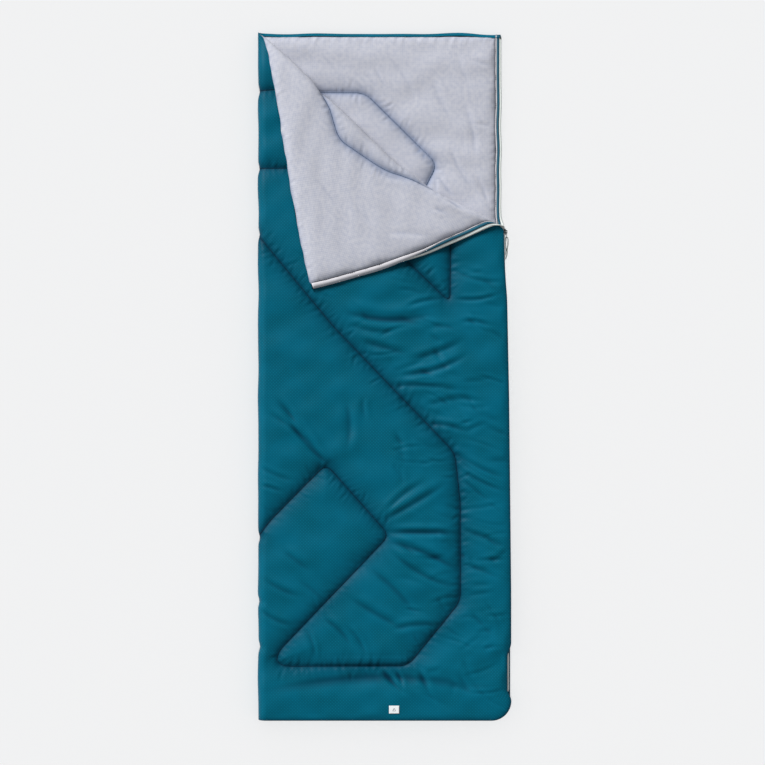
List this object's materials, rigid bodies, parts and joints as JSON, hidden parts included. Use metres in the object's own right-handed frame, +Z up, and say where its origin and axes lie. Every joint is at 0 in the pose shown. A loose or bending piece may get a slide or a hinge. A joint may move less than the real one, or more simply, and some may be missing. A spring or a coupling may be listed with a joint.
{
  "type": "rectangular sleeping bag",
  "caption": "Rectangular quilted sleeping bag lying flat, zipped down one side and round the foot, with the head corner of the cover folded back.",
  "frame": {"origin": "on the surface that the bag lies on, under the middle of the bag", "axes": "+Y towards the head, +X towards the zipped side, +Z up"},
  "size_m": [0.6995, 1.903, 0.0843],
  "materials": {
    "shell_fabric": "satin woven polyester",
    "lining_fabric": "matt brushed polyester",
    "wadding": "matt polyester fibre",
    "zip_tape": "matt woven tape",
    "zip_coil": "satin nylon",
    "guard_tape": "matt woven tape",
    "lining_binding": "matt woven tape",
    "dark_thread": "matt spun thread",
    "label": "matt woven tape",
    "slider_metal": "satin paint on zinc",
    "pull_metal": "satin paint on zinc",
    "cord": "matt braided cord"
  },
  "bodies": {
    "lower_panel": {"lower_lining": "lining_fabric", "lower_lining_binding": "lining_binding", "lower_quilt_thread": "dark_thread", "lower_shell": "shell_fabric", "lower_wadding": "wadding", "lower_zip_coil": "zip_coil", "lower_zip_foot_stop": "zip_coil", "lower_zip_guard": "guard_tape", "lower_zip_head_stop": "zip_coil", "lower_zip_seam_thread": "dark_thread", "lower_zip_tape": "zip_tape", "side_seam_tape": "lining_binding"},
    "cover": {"cover_lining": "lining_fabric", "cover_lining_binding": "lining_binding", "cover_quilt_thread": "dark_thread", "cover_shell": "shell_fabric", "cover_wadding": "wadding", "cover_zip_coil": "zip_coil", "cover_zip_foot_stop": "zip_coil", "cover_zip_guard": "guard_tape", "cover_zip_seam_thread": "dark_thread", "cover_zip_tape": "zip_tape", "label_cloth": "label", "label_stitching": "label"},
    "flap": {"flap_lining": "lining_fabric", "flap_lining_binding": "lining_binding", "flap_quilt_thread": "dark_thread", "flap_shell": "shell_fabric", "flap_wadding": "wadding", "flap_zip_coil": "zip_coil", "flap_zip_guard": "guard_tape", "flap_zip_head_stop": "zip_coil", "flap_zip_seam_thread": "dark_thread", "flap_zip_tape": "zip_tape"},
    "slider": {"zip_slider": "slider_metal"},
    "pull": {"slider_pull": "pull_metal", "pull_cord": "cord", "pull_cord_knot": "cord"}
  },
  "joints": [
    {"name": "cover_open", "type": "hinge", "parent": "lower_panel", "child": "cover", "pos_m": [-0.35, 0, 0.028], "axis": [0, -1, 0], "range_deg": [0, 180]},
    {"name": "flap_fold", "type": "hinge", "parent": "cover", "child": "flap", "pos_m": [-0.35, 0.9515, 0.05645], "axis": [-0.7837, 0.6211, 0], "range_deg": [0, 180]},
    {"name": "zip_slide", "type": "slide", "parent": "lower_panel", "child": "slider", "axis": [0, -1, 0], "range_m": [-0.529, 1.285]},
    {"name": "pull_swing", "type": "hinge", "parent": "slider", "child": "pull", "pos_m": [0.3384, 0.39966, 0.028], "axis": [0, 0, 1], "range_deg": [0, 165]}
  ]
}
